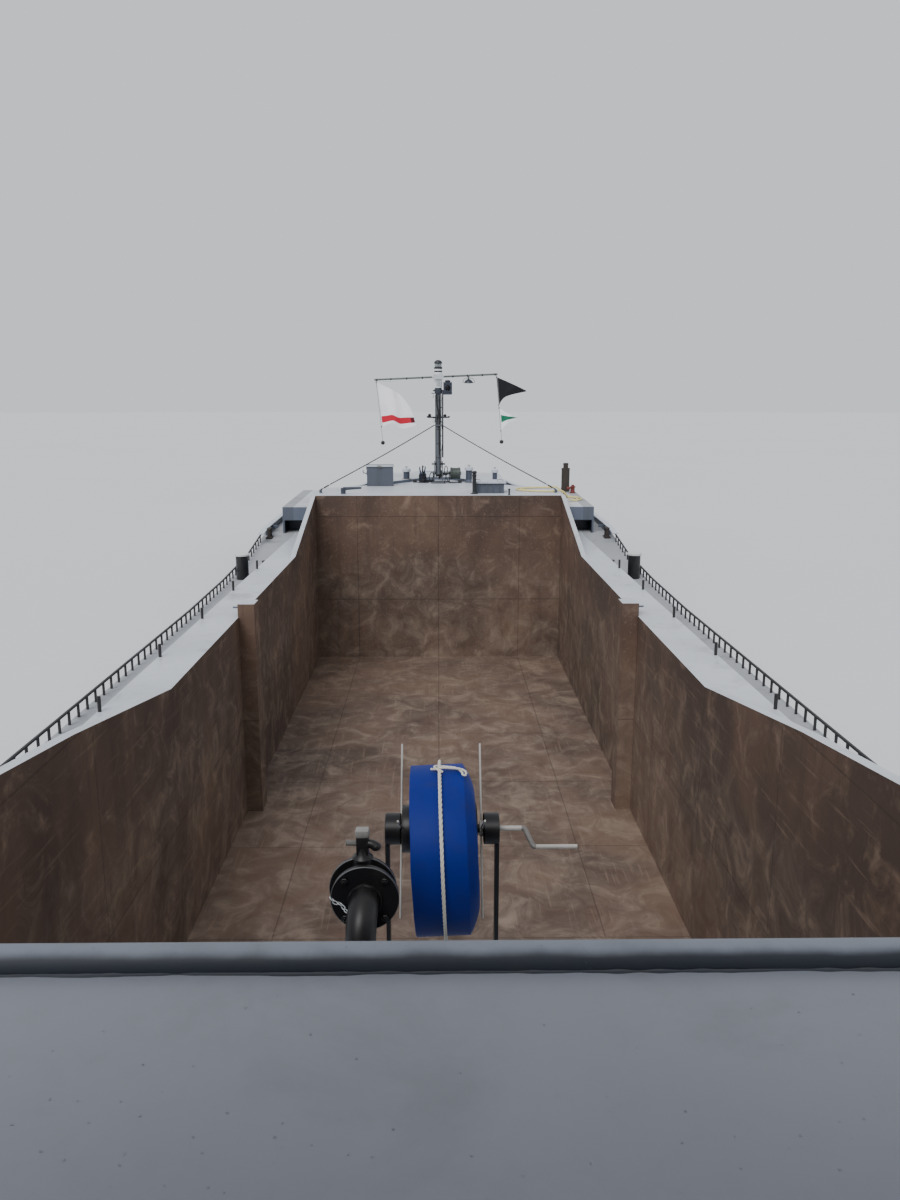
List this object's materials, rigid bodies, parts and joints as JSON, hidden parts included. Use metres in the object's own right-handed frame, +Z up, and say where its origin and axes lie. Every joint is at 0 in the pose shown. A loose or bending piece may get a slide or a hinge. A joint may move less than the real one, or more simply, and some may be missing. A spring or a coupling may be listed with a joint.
{
  "type": "river barge",
  "caption": "Self-propelled river gravel barge with an open hopper, raised foredeck, folding foremast, deck hose reel, wheelhouse, deckhouse, screw and rudder.",
  "frame": {"origin": "centre of the flat bottom, below the middle of the overall length and beam", "axes": "+Y towards the bow, +X to starboard, +Z up"},
  "size_m": [6.6, 38.7, 6.51],
  "materials": {
    "hold_rust": "rusted bare steel inside the hopper",
    "deck_grey": "light grey deck paint, satin",
    "hull_blue": "dark blue-grey hull paint, weathered",
    "hull_black": "black underwater paint",
    "casing_grey": "mid grey paint, satin",
    "tube_blue": "dark blue-grey paint",
    "house_white": "off-white paint, satin",
    "house_blue": "blue-grey paint, satin",
    "window_glass": "clear glass",
    "console_grey": "dark matt laminate",
    "chair_leather": "black leather",
    "bollard_black": "black paint, worn bright on top",
    "rail_black": "black paint with rust",
    "reel_black": "black paint, satin",
    "hose_blue": "woven lay-flat hose, blue",
    "pipe_black": "black coated steel",
    "mast_blue": "blue-grey paint",
    "lantern_white": "white moulded plastic",
    "wire": "galvanised wire rope, dark",
    "flag_cloth": "thin woven flag cloth",
    "flag_black_cloth": "thin woven flag cloth, black",
    "post_timber": "weathered timber",
    "hose_yellow": "yellow water hose",
    "nozzle_brass": "dull brass",
    "winch_green": "grey-green paint, worn",
    "anchor_black": "black painted cast steel",
    "screw_bronze": "cast bronze, dull"
  },
  "bodies": {
    "hull": {"hull_bottom": "hold_rust", "hull_wing_port": "deck_grey", "hull_wing_starboard": "deck_grey", "hull_bow": "hull_blue", "hull_stern": "hull_blue", "forecastle": "deck_grey", "bow_bulwark_port": "hull_blue", "bow_bulwark_starboard": "hull_blue", "aft_trunk": "deck_grey", "engine_casing": "casing_grey", "casing_tube": "tube_blue", "wheelhouse_shell": "house_white", "wheelhouse_roof": "house_white", "wheelhouse_glass_front": "window_glass", "wheelhouse_glass_rear": "window_glass", "wheelhouse_glass_port": "window_glass", "wheelhouse_glass_starboard": "window_glass", "helm_console": "console_grey", "deckhouse_shell": "house_blue", "deckhouse_roof": "deck_grey", "stern_bulwark": "hull_blue", "bollard_port": "bollard_black", "bollard_starboard": "bollard_black", "foot_rail_port": "rail_black", "foot_rail_starboard": "rail_black", "reel_stand": "reel_black", "deck_pipe": "pipe_black", "mast_foot": "mast_blue", "deck_locker": "house_blue", "foredeck_hatch": "house_blue", "mooring_post": "post_timber", "deck_hose": "hose_yellow", "hose_nozzle": "nozzle_brass", "windlass_frame": "tube_blue", "anchor_port": "anchor_black", "anchor_starboard": "anchor_black"},
    "propeller": {"propeller": "screw_bronze"},
    "rudder": {"rudder_blade": "hull_black"},
    "hose_reel": {"reel_drum": "reel_black", "reel_hose": "hose_blue"},
    "foremast": {"foremast_pole": "mast_blue", "mast_lantern": "lantern_white", "foremast_yard": "mast_blue", "foremast_stay_port": "wire", "foremast_stay_starboard": "wire", "flag_white": "flag_cloth", "pennant_black": "flag_black_cloth", "pennant_green": "flag_cloth"},
    "locker_lid": {"locker_lid": "house_blue"},
    "hatch_lid": {"hatch_lid": "deck_grey"},
    "door_port": {"wheelhouse_door_port": "house_white", "door_glass_port": "window_glass"},
    "door_starboard": {"wheelhouse_door_starboard": "house_white", "door_glass_starboard": "window_glass"},
    "door_aft": {"deckhouse_door": "house_white"},
    "helm_chair": {"helm_chair": "chair_leather"},
    "radar": {"radar_scanner": "house_white"},
    "searchlight": {"searchlight": "house_white"},
    "windlass_drum": {"windlass_drum": "winch_green"}
  },
  "joints": [
    {"name": "propeller_spin", "type": "hinge", "parent": "hull", "child": "propeller", "pos_m": [0, -16.62, 0.72], "axis": [0, 1, 0], "continuous": true},
    {"name": "rudder_turn", "type": "hinge", "parent": "hull", "child": "rudder", "pos_m": [0, -17.56, 1], "axis": [0, 0, 1], "range_deg": [-40, 40]},
    {"name": "reel_spin", "type": "hinge", "parent": "hull", "child": "hose_reel", "pos_m": [0.015, -1.47, 3.99], "axis": [1, 0, 0], "continuous": true},
    {"name": "foremast_fold", "type": "hinge", "parent": "hull", "child": "foremast", "pos_m": [0, 16.35, 4.01], "axis": [1, 0, 0], "range_deg": [0, 75], "deforming": ["foremast_stay_port", "foremast_stay_starboard"]},
    {"name": "locker_lid_open", "type": "hinge", "parent": "hull", "child": "locker_lid", "pos_m": [-1.521, 15.78, 4.0203], "axis": [0, -1, 0], "range_deg": [0, 100]},
    {"name": "hatch_lid_open", "type": "hinge", "parent": "hull", "child": "hatch_lid", "pos_m": [0.985, 14.528, 3.8063], "axis": [-1, 0, 0], "range_deg": [0, 100]},
    {"name": "door_starboard_swing", "type": "hinge", "parent": "hull", "child": "door_starboard", "pos_m": [1.514, -5.118, 4.7], "axis": [0, 0, 1], "range_deg": [0, 100]},
    {"name": "door_port_swing", "type": "hinge", "parent": "hull", "child": "door_port", "pos_m": [-1.514, -5.118, 4.7], "axis": [0, 0, -1], "range_deg": [0, 100]},
    {"name": "door_aft_swing", "type": "hinge", "parent": "hull", "child": "door_aft", "pos_m": [0.282, -14.714, 3.2], "axis": [0, 0, 1], "range_deg": [0, 100]},
    {"name": "chair_swivel", "type": "hinge", "parent": "hull", "child": "helm_chair", "pos_m": [0, -5.56, 3.7], "axis": [0, 0, 1], "continuous": true},
    {"name": "radar_spin", "type": "hinge", "parent": "hull", "child": "radar", "pos_m": [0, -5.9, 6.38], "axis": [0, 0, 1], "continuous": true},
    {"name": "searchlight_turn", "type": "hinge", "parent": "hull", "child": "searchlight", "pos_m": [0.9, -4.6, 5.97], "axis": [0, 0, 1], "range_deg": [-170, 170]},
    {"name": "windlass_spin", "type": "hinge", "parent": "hull", "child": "windlass_drum", "pos_m": [0, 16.7, 3.78], "axis": [1, 0, 0], "continuous": true}
  ]
}
